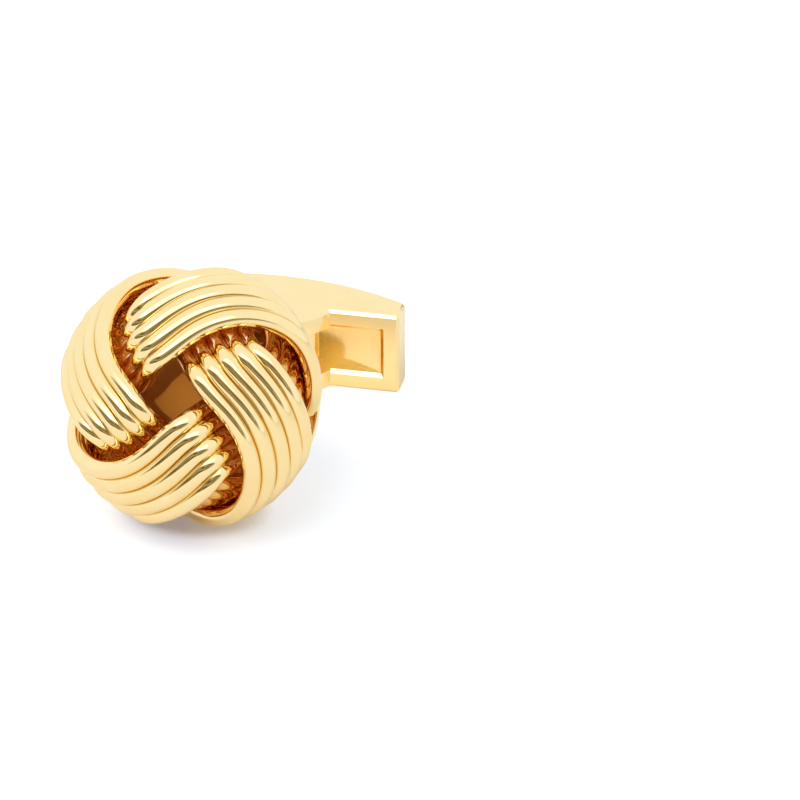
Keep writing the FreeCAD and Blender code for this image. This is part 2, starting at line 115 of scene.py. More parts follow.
class KnotSizes(bpy.types.PropertyGroup):
    wire_radius: length("Wire radius", "Round wire, wider than its pitch so that a band closes", 0.54)
    wire_pitch: length("Wire pitch", "Centre to centre of neighbouring wires", 0.97)
    across: length("Weave radius", "Mean surface of the weave, across", 6.98)
    deep: length("Weave depth", "Mean surface of the weave, middle to front", 5.26)
    rise: length("Weave rise", "Lift of a band over its neighbour", 0.80)
    reach: length("Band reach", "Rim to band centre at its highest, along the surface", 6.00)
    turn_ratio: amount("Band turn", "How quickly a band returns to the rim", 1.137)
    drift: length("Band drift", "Lean of the band across the turn, per degree", -0.0142)
    start: angle("Band start", "Direction of the right-hand band from the front", 41.9)
    dive_place: length("Dive place", "Where a wire dives, before the inner wire of the band ahead", 1.35)
    dive_half: length("Dive half", "Half length of that dive", 1.25)
    tail_drop: length("Tail drop", "How far a band's tail draws in at the rim", 0.50)
    tail_place: length("Tail place", "Where the tail starts to draw in, over the rim", 1.80)
    tail_run: length("Tail run", "Length over which the tail draws in", 2.80)
    tail_fall: length("Tail fall", "How quickly the tail's end turns to the plate, per square degree", 0.004)
    tail_start: amount("Tail start", "Turn at which the tail's end falls, in degrees", -102.0)
    end_depth: length("Wire end depth", "Flat back of the weave behind the middle", 2.20)
    lean: angle("Knot lean", "How far the knot looks up", 30.0)
    middle: position("Knot middle", "Where the knot's middle stands", (0.0, KNOT_Y, 7.6037 * MM))
    groove_near: amount("Groove near", "Start of the groove's line, in wire radii from the next wire", 1.16)
    groove_run: amount("Groove run", "How far the groove's line deepens, in wire radii", 0.13)
    stations: IntProperty(name="Stations", description="Steps along one wire", default=150)
    around: IntProperty(name="Around", description="Steps round one wire", default=28)


class PlateSizes(bpy.types.PropertyGroup):
    radius: length("Plate radius", "Domed plate that closes the knot's back", 7.25)
    rim: length("Plate rim", "Thickness at the rim", 0.45)
    middle: length("Plate middle", "Thickness at the stem", 2.10)
    rim_round: length("Rim rounding", "Rounded lip of the plate", 0.12)
    collar_radius: length("Collar radius", "Collar at the stem's root", 2.30)
    collar_neck: length("Collar neck", "Narrow end of the collar", 1.50)
    collar_length: length("Collar length", "Collar along the stem", 1.30)
    stem_radius: length("Stem radius", "Round stem", 1.15)
    stem_bend: length("Stem bend", "Bend radius of the stem", 7.0)
    rivet: length("Rivet", "Stem end standing out inside the knot", 0.35)
    tongue_length: length("Tongue length", "Flat tongue ahead of the hinge", 3.60)
    tongue_side: length("Tongue side", "Hinge centre to the tongue's flats", 1.20)
    tongue_round: length("Tongue rounding", "Rounding of the tongue's corners", 0.45)
    tongue_low: length("Tongue low", "Underside of the tongue over the table", 1.33)
    tongue_bevel: length("Tongue bevel", "Softening of the tongue's edges", 0.10)
    bore_room: length("Bore room", "Room round the pin in the tongue", 0.05)
    stem_overlap: length("Stem overlap", "How far the stem runs into the tongue", 0.30)


class BarSizes(bpy.types.PropertyGroup):
    half: length("Half length", "Half of the bar", 9.0)
    height: length("Height", "Bar height", 5.60)
    thick: length("Thickness", "Middle of the bar", 4.50)
    back: length("Back curve", "Radius of the bar's back", 18.20)
    lead: length("Hinge lead", "Hinge centre ahead of the front face", 1.35)
    hump_front: length("Hump front", "Hinge centre to the front of the hump", 1.30)
    hump_root: length("Hump root", "Where the hump meets the wing", 4.40)
    trough: length("Trough depth", "Trough in the front face, at its middle", 1.52)
    trough_curve: length("Trough curve", "Radius of the trough's floor", 25.0)
    rail: length("Rail", "Rail above and below the trough", 1.25)
    wall: length("End wall", "Wall at each end of the trough", 1.25)
    bevel: length("Bevel", "Bright bevel of the outer edges and of the trough's rim", 0.25)
    fine_bevel: length("Fine bevel", "Softening of every sharp edge", 0.05)
    pin_radius: length("Pin radius", "Hinge pin", 0.75)
    pin_ring: length("Pin ring", "Dark ring round the pin's end", 0.05)
    pin_round: length("Pin rounding", "Rounding of the pin's ends", 0.15)
    spring_gauge: length("Spring gauge", "Leaf spring thickness", 0.30)
    spring_bevel: length("Spring bevel", "Softening of the leaf spring's edges", 0.04)


class GoldLooks(bpy.types.PropertyGroup):
    plate: colour("Gold plate", "Polished gold plate facing the light", "FFECB8")
    plate_deep: colour("Gold plate, warm", "Slightly redder patches of the plating", "FDE4A6")
    # Painted shade: the recess colour is darker and redder than the plate, for the shade deep inside the
    # knot.
    shaded_recess: colour("Recess plating", "Unbuffed plating inside the knot", "EDBB70")
    recess_matt: amount("Recess matt", "Roughness of the unbuffed recesses", 0.17)
    # Painted shade: a darker line where two wires meet.
    groove_shade: colour("Groove", "Polish left in the line between two wires", "D2AC66")
    # Painted shade: the back plate's inside, behind the wires, is coloured a deep orange.
    plate_inside_shade: colour("Stamped plating", "Dull plating on the inside of the back plate", "F0A040")
    stamped_matt: amount("Stamped matt", "Roughness inside the back plate", 0.48)
    stamped_metal: amount("Stamped metal", "Share of bare metal inside the back plate", 0.35)
    spring: colour("Spring strip", "Rolled brass of the leaf spring", "F6DDA0")
    roughness: amount("Polish", "Roughness of the polished plate", 0.07)
    tumbled: amount("Tumbled polish", "Roughness of the barrel polished bar", 0.16)
    rolled: amount("Rolled finish", "Roughness of the leaf spring", 0.126)
    wave: length("Polish wave", "Size of the slow waves that polishing leaves", 1.6)
    wave_depth: length("Polish wave depth", "Depth of those waves", 0.10)
    scratch: length("Hairlines", "Spacing of wiping hairlines, drawn coarse enough to show", 0.12)


class StageLooks(bpy.types.PropertyGroup):
    table: colour("Table", "Plain white table", "F7F7F7")
    # Painted shadow: the camera's glow on the table is lowest under the knot's foot and lower round the knot
    # than on the open table.
    foot_shadow_lift: amount("Foot bleach", "How far the camera bleaches the table under the knot", 0.12)
    shadow_lift: amount("Bleach", "How far the camera bleaches the table beside the knot", 0.43)
    far_shadow_lift: amount("Far bleach", "How much more it bleaches the open table", 0.24)
    shadow_lift_tint: colour("Bleach tint", "Cool white that bleaches the table for the camera", "DCEAFF")
    foot: position("Foot", "Middle of the knot's contact shadow", (0.0, -7.5 * MM, 0.0))
    foot_size: position("Foot size", "Half size of the knot's contact shadow", (5.5 * MM, 4.0 * MM, 1.0))
    # Painted light: a warm pool glows on the table where polished metal sees it, for the light the gold
    # throws there.
    warm_glow: amount("Warmth", "Warm light on the table by the toggle", 0.42)
    far_warm_glow: amount("Far warmth", "Warm light on the open table", 0.12)
    warm_tint: colour("Warm tint", "Light that the gold throws on the table", "FFDCAC")
    pool: position("Warm pool", "Middle of the warm light", (2.0 * MM, 5.0 * MM, 0.0))
    pool_size: position("Warm pool size", "Half size of the warm light", (10.0 * MM, 7.0 * MM, 1.0))
    ambient: amount("Ambient", "Light of the white studio on dull surfaces", 0.65)
    softbox: amount("Front softbox", "Power of the softbox, in W", 0.75)
    softbox_place: position("Softbox place", "Middle of the softbox", (-0.12, -0.22, 0.36))
    softbox_wide: length("Softbox width", "Width of the softbox", 360.0)
    softbox_tall: length("Softbox height", "Height of the softbox", 300.0)
    hole_spot: amount("Hole spot", "Power of the beam down the knot's hole, in W", 3.6)
    hole_side: angle("Hole spot side", "How far right of the front the beam stands", 10.0)
    hole_height: angle("Hole spot height", "How far above the table the beam stands", 32.0)
    hole_beam: angle("Hole beam", "Width of the beam", 1.1)
    hole_source: length("Hole source", "Radius of the beam's source", 3.0)
    end_grey: amount("End grey", "Brightness of the lighter things behind the camera", 0.50)
    end_black: amount("End black", "Brightness of the darkest things", 0.07)
    end_tint: colour("End tint", "Warm wood of the things behind the camera", "FFE9B4")
    end_things: amount("End things", "Number of things along the wall", 3.0)
    end_aside: amount("End aside", "How far the wall stands to the camera's right", -0.22)
    end_low: amount("End low", "How far the wall's middle lies below the camera", 0.19)
    end_wide: length("End wide", "Half width of the wall", 750.0)
    end_tall: length("End tall", "Half height of the wall", 160.0)
    end_dark: amount("End fade", "Share of the card at which the wall starts to fade", 0.62)
    front_glow: heading("Front glow", "Direction of the tent's bright front", (0.05, -0.52, 0.85))
    left_window: heading("Left window", "Direction of the left bright window", (-0.17, -0.53, 0.83))
    right_window: heading("Right window", "Direction of the right bright window", (0.50, -0.40, 0.75))
    azimuth: angle("Camera azimuth", "Camera to the right of the knot's face", 12.21)
    elevation: angle("Camera elevation", "Camera above the table", 28.48)
    distance: length("Camera distance", "Camera to the middle of the picture", 189.5)
    target: position("Picture middle", "Point in the middle of the picture", (12.71 * MM, KNOT_Y, 8.84 * MM))
    lens: amount("Lens", "Focal length on a 36 mm sensor, in mm", 144.0)


GROUPS = {"cuff_knot": KnotSizes, "cuff_plate": PlateSizes, "cuff_bar": BarSizes,
          "cuff_gold": GoldLooks, "cuff_stage": StageLooks}


def linear(hex_text):
    # One sRGB hex value as a linear colour with full alpha.
    parts = [int(hex_text[at:at + 2], 16) / 255 for at in (0, 2, 4)]
    return [p / 12.92 if p <= 0.04045 else ((p + 0.055) / 1.055) ** 2.4 for p in parts] + [1.0]


def node(tree, kind, values=None, links=None, **settings):
    # Add one node, set its fields and sockets, and link its inputs.
    made = tree.nodes.new(kind)
    for key, value in settings.items():
        setattr(made, key, value)
    for key, value in (values or {}).items():
        made.inputs[key].default_value = value
    for key, source in (links or {}).items():
        tree.links.new(source, made.inputs[key])
    return made


def empty_material(name):
    material = bpy.data.materials.new(name)
    material.use_nodes = True
    material.node_tree.nodes.clear()
    return material, material.node_tree


def gold_material(name, base_hex, roughness, shaded_recess):
    # Polished gold plate on cast metal: a near mirror whose reflections waver with the hand polish, with
    # wiping hairlines that only just soften it and slightly warmer patches in the plating. In the knot's
    # recesses, where no buffing wheel reaches, the plating stays matt, and painted shade makes it darker and
    # redder there.
    looks = bpy.context.scene.cuff_gold
    material, tree = empty_material(name)
    place = node(tree, "ShaderNodeTexCoord")
    waves = node(tree, "ShaderNodeTexNoise", {"Scale": 1 / looks.wave, "Detail": 1.5, "Roughness": 0.45},
                 {"Vector": place.outputs["Object"]})
    hairs = node(tree, "ShaderNodeTexNoise", {"Scale": 1 / looks.scratch, "Detail": 3.0, "Roughness": 0.6},
                 {"Vector": place.outputs["Object"]})
    tint = node(tree, "ShaderNodeMix", {6: linear(base_hex), 7: linear(looks.plate_deep)},
                {0: waves.outputs["Fac"]}, data_type="RGBA").outputs[2]
    hairlines = {"From Min": 0.3, "From Max": 0.7, "To Min": roughness * 0.7, "To Max": roughness * 1.4}
    gloss = node(tree, "ShaderNodeMapRange", hairlines, {"Value": hairs.outputs["Fac"]}).outputs["Result"]
    if shaded_recess:
        recess_shade_hex, matt, metal = shaded_recess
        deep = recess_shade_and_matt_share(tree, place)
        tint = node(tree, "ShaderNodeMix", {7: linear(recess_shade_hex)}, {0: deep, 6: tint},
                    data_type="RGBA").outputs[2]
        gloss = node(tree, "ShaderNodeMix", {3: matt}, {0: deep, 2: gloss}).outputs[0]
        # Painted shade along the line where a wire meets its neighbour.
        groove_shade = node(tree, "ShaderNodeAttribute", attribute_name="groove_shade").outputs["Fac"]
        tint = node(tree, "ShaderNodeMix", {7: linear(looks.groove_shade)}, {0: groove_shade, 6: tint},
                    data_type="RGBA").outputs[2]
    bump = node(tree, "ShaderNodeBump", {"Strength": 0.10, "Distance": looks.wave_depth},
                {"Height": waves.outputs["Fac"]})
    shader = node(tree, "ShaderNodeBsdfPrincipled", {"Metallic": 1.0},
                  {"Base Color": tint, "Roughness": gloss, "Normal": bump.outputs["Normal"]})
    if shaded_recess and metal < 1:
        bare = node(tree, "ShaderNodeMix", {2: 1.0, 3: metal}, {0: deep})
        tree.links.new(bare.outputs[0], shader.inputs["Metallic"])
    node(tree, "ShaderNodeOutputMaterial", links={"Surface": shader.outputs["BSDF"]})
    return material


def recess_shade_and_matt_share(tree, place):
    # 1 inside the ball that the bands are woven on, in front of the back plate, and 0 on its outside.
    # Where it is 1, the plating turns matt and a painted shade colour darkens and reddens it.
    knot = bpy.context.scene.cuff_knot
    size = (knot.across, knot.across, knot.deep)
    ball = node(tree, "ShaderNodeMapping",
                {"Location": knot.middle, "Rotation": (math.pi / 2 - knot.lean, 0, 0), "Scale": size},
                {"Vector": place.outputs["Object"]}, vector_type="TEXTURE")
    reach = node(tree, "ShaderNodeVectorMath", links={0: ball.outputs["Vector"]}, operation="LENGTH")
    inside = node(tree, "ShaderNodeMapRange", {"From Min": 1.04, "From Max": 0.96},
                  {"Value": reach.outputs["Value"]}, interpolation_type="SMOOTHSTEP")
    parts = node(tree, "ShaderNodeSeparateXYZ", links={"Vector": ball.outputs["Vector"]})
    spare = 0.05 * MM
    floor = -(knot.end_depth + spare) / knot.deep
    front = node(tree, "ShaderNodeMath", {1: floor}, {0: parts.outputs["Z"]}, operation="GREATER_THAN")
    both = node(tree, "ShaderNodeMath", links={0: inside.outputs["Result"], 1: front.outputs["Value"]},
                operation="MULTIPLY")
    return both.outputs["Value"]


def gold(name):
    # The finish of that name, made at its first use.
    known = bpy.data.materials.get(name)
    if known:
        return known
    looks = bpy.context.scene.cuff_gold
    # Each finish: its colour, its polish, and the painted shade colour, polish and share of bare metal of its
    # recesses.
    finishes = {
        "polished_gold_plate": (looks.plate, looks.roughness, None),
        "tumbled_gold_plate": (looks.plate, looks.tumbled, None),
        "rolled_spring_brass": (looks.spring, looks.rolled, None),
        "woven_gold_plate": (looks.plate, looks.roughness, (looks.shaded_recess, looks.recess_matt, 1.0)),
        # The back plate's inside takes a painted shade colour in its recess.
        "stamped_gold_plate": (looks.plate, looks.roughness,
                               (looks.plate_inside_shade, looks.stamped_matt, looks.stamped_metal)),
    }
    tone, roughness, shaded_recess = finishes[name]
    return gold_material(name, tone, roughness, shaded_recess)


def finish_piece(mesh, name, body, nodes, material):
    # Put a finished mesh in the scene as the piece that stands for the named solids.
    piece = bpy.data.objects.new(name, mesh)
    bpy.context.collection.objects.link(piece)
    if not mesh.materials:
        mesh.materials.append(material)
    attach(piece, body)
    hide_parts(*nodes)
    return piece


def sweep_tree():
    # Node tree that runs a round wire along a path.
    known = bpy.data.node_groups.get("round_wire_along_path")
    if known:
        return known
    tree = bpy.data.node_groups.new("round_wire_along_path", "GeometryNodeTree")
    inputs = {"Path": "Geometry", "Wire Radius": "Float", "Around": "Int", "Finish": "Material"}
    for title, kind in inputs.items():
        tree.interface.new_socket(title, in_out="INPUT", socket_type="NodeSocket" + kind)
    tree.interface.new_socket("Wire", in_out="OUTPUT", socket_type="NodeSocketGeometry")
    given = node(tree, "NodeGroupInput")
    ring = node(tree, "GeometryNodeCurvePrimitiveCircle", links={
        "Radius": given.outputs["Wire Radius"], "Resolution": given.outputs["Around"]}, mode="RADIUS")
    sweep = node(tree, "GeometryNodeCurveToMesh", {"Fill Caps": True}, {
        "Curve": given.outputs["Path"], "Profile Curve": ring.outputs["Curve"]})
    smooth = node(tree, "GeometryNodeSetShadeSmooth", links={"Geometry": sweep.outputs["Mesh"]})
    real = node(tree, "GeometryNodeRealizeInstances", links={"Geometry": smooth.outputs["Geometry"]})
    coat = node(tree, "GeometryNodeSetMaterial", links={
        "Geometry": real.outputs["Geometry"], "Material": given.outputs["Finish"]})
    node(tree, "NodeGroupOutput", links={"Wire": coat.outputs["Geometry"]})
    return tree


def swept_mesh(name, points, radius, around, material):
    # A round wire of the given radius along the points, as a plain mesh.
    path = bpy.data.curves.new(name + "_path", "CURVE")
    path.dimensions = "3D"
    line = path.splines.new("POLY")
    line.points.add(len(points) - 1)
    for spot, point in zip(line.points, points):
        spot.co = (*point, 1.0)
    holder = bpy.data.objects.new(name + "_path", path)
    bpy.context.collection.objects.link(holder)
    modifier = holder.modifiers.new("sweep", "NODES")
    modifier.node_group = sweep_tree()
    sockets = {s.name: s.identifier for s in modifier.node_group.interface.items_tree if s.in_out == "INPUT"}
    modifier[sockets["Wire Radius"]] = radius
    modifier[sockets["Around"]] = around
    modifier[sockets["Finish"]] = material
    mesh = applied(holder, name)
    bpy.data.curves.remove(path)
    return mesh


def applied(holder, name, cutters=()):
    # The evaluated mesh of a scratch object, which goes away with its cutters.
    bpy.context.view_layer.update()
    graph = bpy.context.evaluated_depsgraph_get()
    mesh = bpy.data.meshes.new_from_object(holder.evaluated_get(graph), depsgraph=graph)
    mesh.name = name
    for thing in (holder, *cutters):
        bpy.data.objects.remove(thing)
    return mesh


def eased(share):
    # From 0 to 1 with soft ends.
    share = min(1.0, max(0.0, share))
    return share * share * (3 - 2 * share)


class Weave:
    # The knot's wires about its own axis: +z is the front, angles run from the right upwards. A band starts
    # under the band ahead, dives up past that band's inner wire and runs over the front and round the rim.
    steps = 600
    offset_steps = 6
    over_turn = -60.0
    ahead_turns = range(-140, 81)
    end_sunk = 0.3
    end_from, end_by, end_step = 60.0, 150.0, 4.0
    halvings = 12
    settlings = 4
    nudge = 0.05

    def __init__(self, sizes):
        self.s = sizes
        self.across = sizes.across
        self.deep = sizes.deep
        self.meridian = [0.0]
        step = (math.pi / 2) / self.steps
        for index in range(self.steps):
            middle = (index + 0.5) * step
            self.meridian.append(self.meridian[-1] + step * math.hypot(self.across * math.sin(middle),
                                                                       self.deep * math.cos(middle)))
        self.follow_band_ahead()

    def follow_band_ahead(self):
        # The inner wire of the band ahead, with its direction towards the pole.
        ahead = Matrix.Rotation(2 * math.pi / len(BANDS), 3, "Z")
        self.ahead = KDTree(len(self.ahead_turns))
        self.ahead_sides = []
        for index, turn in enumerate(self.ahead_turns):
            spot, side = self.stepped(turn, WIRES_IN_BAND // 2, lambda spot, turn: self.s.rise)
            self.ahead.insert(ahead @ spot, index)
            self.ahead_sides.append(ahead @ side)
        self.ahead.balance()

    def meridian_angle(self, distance):
        wanted = min(abs(distance), self.meridian[-1])
        low = min(bisect.bisect_right(self.meridian, wanted), self.steps) - 1
        share = (wanted - self.meridian[low]) / (self.meridian[low + 1] - self.meridian[low])
        return math.copysign((low + share) * (math.pi / 2) / self.steps, distance)

    def over_rim(self, p):
        # Distance of a surface point from the rim, along its meridian.
        slope = math.atan2(p.z / self.deep, math.hypot(p.x, p.y) / self.across)
        place = min(abs(slope) / (math.pi / 2) * self.steps, self.steps - 1e-6)
        low = int(place)
        run = self.meridian[low] + (place - low) * (self.meridian[low + 1] - self.meridian[low])
        return math.copysign(run, slope)

    def slope(self, p):
        return Vector((p.x / self.across ** 2, p.y / self.across ** 2, p.z / self.deep ** 2))

    def outward(self, p):
        return self.slope(p).normalized()

    def onto(self, p):
        for _ in range(self.settlings):
            slope = self.slope(p)
            miss = p.dot(slope) - 1
            p = p - slope * (miss / (2 * slope.length_squared))
        return p

    def centre(self, turn):
        s = self.s
        reach = s.reach * math.cos(math.radians(turn * s.turn_ratio)) + s.drift * turn
        reach -= s.tail_fall * max(0.0, s.tail_start - turn) ** 2
        rise = self.meridian_angle(reach)
        ring = self.across * math.cos(rise)
        around = math.radians(turn)
        return Vector((ring * math.cos(around), ring * math.sin(around), self.deep * math.sin(rise)))

    def gap_ahead(self, spot):
        # Distance to the inner wire of the band ahead, negative under that band.
        nearest, index, gap = self.ahead.find(spot)
        return math.copysign(gap, (spot - nearest).dot(self.ahead_sides[index]))

    def lift(self, spot, turn):
        s = self.s
        level = 1.0
        if turn > self.over_turn:
            share = (self.gap_ahead(spot) - s.dive_place) / s.dive_half
            level = math.sin(math.pi / 2 * max(-1.0, min(1.0, share)))
        drawn = eased((s.tail_place - self.over_rim(spot)) / s.tail_run) if turn < 0 else 0.0
        return s.rise * level - s.tail_drop * drawn

    def stepped(self, turn, place, height_at):
        # A surface point some pitches to the pole's side of the band's middle, at the lifted wire's pitch.
        run = (self.centre(turn + self.nudge) - self.centre(turn - self.nudge)).normalized()
        spot = self.centre(turn)
        side = self.outward(spot).cross(run) * (1 if place >= 0 else -1)
        step = self.s.wire_pitch / self.offset_steps
        for _ in range(abs(place) * self.offset_steps):
            height = height_at(spot, turn)
            here = spot + self.outward(spot) * height
            trial = self.onto(spot + side * step)
            there = trial + self.outward(trial) * height
            spot = self.onto(spot + side * (step * step / (there - here).length))
            up = self.outward(spot)
            side = (side - up * side.dot(up)).normalized()
        return spot, side

    def point(self, turn, place):
        spot = self.stepped(turn, place, self.lift)[0]
        return spot + self.outward(spot) * self.lift(spot, turn)

    def end_turn(self, place, sign):
        # Where the wire has run into the back plate's face.
        floor = -self.s.end_depth - self.s.wire_radius * self.end_sunk
        near = self.end_from
        while near < self.end_by and self.point(sign * (near + self.end_step), place).z > floor:
            near += self.end_step
        far = near + self.end_step
        for _ in range(self.halvings):
            middle = (near + far) / 2
            if self.point(sign * middle, place).z > floor:
                near = middle
            else:
                far = middle
        return sign * near

    def path(self, place):
        first = self.end_turn(place, -1)
        last = self.end_turn(place, 1)
        count = self.s.stations
        return [self.point(first + (last - first) * i / count, place) for i in range(count + 1)]


def knot_stand():
    # Matrix that stands the knot's own axis into the cufflink.
    sizes = bpy.context.scene.cuff_knot
    tip = Matrix.Rotation(math.pi / 2 - sizes.lean, 4, "X")
    return Matrix.Translation(Vector(sizes.middle)) @ tip


def closed_mesh(shape, name):
    # A mesh of the built faces, all turned outwards.
    bmesh.ops.recalc_face_normals(shape, faces=shape.faces)
    mesh = bpy.data.meshes.new(name)
    shape.to_mesh(mesh)
    shape.free()
    return mesh


def lathe(name, profile, steps=160):
    # Turn a closed profile of radius and height pairs about the z axis. A radius of 0 is a pole.
    shape = bmesh.new()
    rings = []
    for radius, height in profile:
        if radius == 0:
            rings.append([shape.verts.new((0, 0, height))] * steps)
            continue
        ring = []
        for step in range(steps):
            around = 2 * math.pi * step / steps
            ring.append(shape.verts.new((radius * math.cos(around), radius * math.sin(around), height)))
        rings.append(ring)
    for index in range(len(rings)):
        here, there = rings[index], rings[(index + 1) % len(rings)]
        for step in range(steps):
            follow = (step + 1) % steps
            corners = list(dict.fromkeys((here[step], here[follow], there[follow], there[step])))
            if len(corners) > 2:
                shape.faces.new(corners)
    return closed_mesh(shape, name)


def smooth_by_angle(mesh, degrees):
    mesh.polygons.foreach_set("use_smooth", [True] * len(mesh.polygons))
    mesh.set_sharp_from_angle(angle=math.radians(degrees))


def corner_arc(centre, radius, start, stop, steps):
    # Points of a plan arc, both ends included.
    turns = [start + (stop - start) * i / steps for i in range(steps + 1)]
    return [(centre[0] + radius * math.cos(turn), centre[1] + radius * math.sin(turn)) for turn in turns]


def hinge_circle(radius):
    # Outline round the hinge's axis, without the last point, which meets the first.
    return corner_arc((0, HINGE_Y), radius, 0, 2 * math.pi, ROUND_STEPS)[:-1]


def prism(name, outline, low, high):
    # A plan outline raised from one height to another.
    shape = bmesh.new()
    floor = [shape.verts.new((x, y, low)) for x, y in outline]
    roof = [shape.verts.new((x, y, high)) for x, y in outline]
    shape.faces.new(floor)
    shape.faces.new(roof)
    for index in range(len(outline)):
        follow = (index + 1) % len(outline)
        shape.faces.new((floor[index], floor[follow], roof[follow], roof[index]))
    return closed_mesh(shape, name)


def scratch(mesh):
    holder = bpy.data.objects.new(mesh.name + "_scratch", mesh)
    bpy.context.collection.objects.link(holder)
    return holder


def bevelled(holder, width, segments, degrees):
    edge = holder.modifiers.new("edge", "BEVEL")
    edge.width = width
    edge.segments = segments
    edge.limit_method = "ANGLE"
    edge.angle_limit = math.radians(degrees)
    return edge


def cut_away(holder, *meshes):
    # Cut shapes out of a scratch object, and give back the scratch objects that cut.
    cutters = [scratch(mesh) for mesh in meshes]
    for cutter in cutters:
        cut = holder.modifiers.new("cut", "BOOLEAN")
        cut.object = cutter
        cut.solver = "EXACT"
    return cutters


def cleaned(mesh):
    # Merge the slivers that cuts and bevels leave where they meet, and close what then stands open.
    shape = bmesh.new()
    shape.from_mesh(mesh)
    bmesh.ops.remove_doubles(shape, verts=shape.verts, dist=SLIVER)
    bmesh.ops.dissolve_degenerate(shape, edges=shape.edges, dist=SLIVER)
    bmesh.ops.holes_fill(shape, edges=[edge for edge in shape.edges if edge.is_boundary])
    shape.to_mesh(mesh)
    shape.free()
    return mesh


def flat_faced(mesh, name):
    # Keep broad faces flat to the eye between their softened edges.
    holder = scratch(mesh)
    even = holder.modifiers.new("even", "WEIGHTED_NORMAL")
    even.keep_sharp = True
    return applied(holder, name)


def marked_for_bevel(mesh, half):
    # Mark the level edges of a bar and the upright ones at its two ends.
    marks = mesh.attributes.new("bevel_weight_edge", "FLOAT", "EDGE")
    for edge in mesh.edges:
        first, last = (mesh.vertices[index].co for index in edge.vertices)
        level = abs(first.z - last.z) < SAME_PLACE
        at_end = abs(abs(first.x) - half) < SAME_PLACE and abs(abs(last.x) - half) < SAME_PLACE
        marks.data[edge.index].value = 1.0 if level or at_end else 0.0
    return mesh


def rim_bevel(name, near, far, sizes):
    # Cutter for the bevel round one wing's end of the trough, open towards the hump.
    front = HINGE_Y + sizes.lead
    corners = []
    for y, grow in ((front - CUT_SPARE, sizes.bevel + CUT_SPARE), (front + sizes.bevel, 0.0)):
        stop = far + math.copysign(grow, far)
        low, high = sizes.rail - grow, sizes.height - sizes.rail + grow
        corners += [(near, y, low), (stop, y, low), (stop, y, high), (near, y, high)]
    sides = [(0, 1, 2, 3), (4, 5, 6, 7), (0, 1, 5, 4), (1, 2, 6, 5), (2, 3, 7, 6), (3, 0, 4, 7)]
    shape = bmesh.new()
    verts = [shape.verts.new(corner) for corner in corners]
    for side in sides:
        shape.faces.new([verts[index] for index in side])
    return closed_mesh(shape, name)


def groove_line(paths, number):
    # Search tree of the wires that lie beside one wire of a band.
    beside = [paths[at] for at in (number - 1, number + 1) if 0 <= at < len(paths)]
    tree = KDTree(sum(len(path) for path in beside))
    for index, point in enumerate(point for path in beside for point in path):
        tree.insert(point, index)
    tree.balance()
    return tree


def mark_groove_shade(mesh, beside, into_knot, sizes):
    # 1 in the line where a wire meets its neighbour, 0 on the rest of it: where painted shade darkens the
    # wire.
    marks = mesh.attributes.new("groove_shade", "FLOAT", "POINT")
    for vertex in mesh.vertices:
        gap = beside.find(into_knot @ vertex.co)[2] / sizes.wire_radius
        marks.data[vertex.index].value = eased((sizes.groove_near - gap) / sizes.groove_run)


class WeaveKnot(bpy.types.Operator):
    """Weave the four bands of five polished wires"""
    bl_idname = "cufflink.weave_knot"
    bl_label = "Weave knot"

    def execute(self, context):
        sizes = context.scene.cuff_knot
        weave = Weave(sizes)
        stand = knot_stand()
        half = WIRES_IN_BAND // 2
        paths = [weave.path(number - half) for number in range(WIRES_IN_BAND)]
        grooves = [groove_line(paths, number) for number in range(WIRES_IN_BAND)]
        finish = gold("woven_gold_plate")
        for band, name in enumerate(BANDS):
            turned = stand @ Matrix.Rotation(sizes.start + band * 2 * math.pi / len(BANDS), 4, "Z")
            for number in range(WIRES_IN_BAND):
                points = [turned @ p for p in paths[number]]
                title = "%s_band_wire_%d" % (name, number + 1)
                mesh = swept_mesh(title + "_gold", points, sizes.wire_radius, sizes.around, finish)
                mark_groove_shade(mesh, grooves[number], turned.inverted(), sizes)
                finish_piece(mesh, title + "_gold", "knot", [title], finish)
        return {"FINISHED"}


class TurnBackPlate(bpy.types.Operator):
    """Turn the domed back plate and the collar at the stem's root"""
    bl_idname = "cufflink.turn_back_plate"
    bl_label = "Turn back plate"

    def execute(self, context):
        knot = context.scene.cuff_knot
        s = context.scene.cuff_plate
        front = -knot.end_depth
        lip = s.rim_round
        seat = math.acos(s.collar_radius / s.radius)
        lip_steps, dome_steps = 6, 32
        plate = [(s.stem_radius, front)]
        plate += corner_arc((s.radius - lip, front - lip), lip, math.pi / 2, 0, lip_steps)
        for step in range(dome_steps + 1):
            turn = seat * step / dome_steps
            sag = (s.middle - s.rim) * math.sin(turn) / math.sin(seat)
            plate.append((s.radius * math.cos(turn), front - s.rim - sag))
        plate.append((s.stem_radius, front - s.middle))
        top = front - s.middle
        low = top - s.collar_length
        flare, foot = -0.5, lip * 0.6
        collar = [(s.stem_radius, top)]
        collar += corner_arc((s.collar_radius - lip, top - lip), lip, math.pi / 2, flare, lip_steps)
        collar += corner_arc((s.collar_neck - foot, low + foot), foot, flare, -math.pi / 2, lip_steps)
        collar.append((s.stem_radius, low))
        for title, profile, finish in (("back_plate", plate, "stamped_gold_plate"),
                                       ("post_collar", collar, "polished_gold_plate")):
            mesh = lathe(title + "_gold", profile)
            mesh.transform(knot_stand())
            smooth_by_angle(mesh, degrees=40)
            finish_piece(mesh, title + "_gold", "knot", [title], gold(finish))
        return {"FINISHED"}


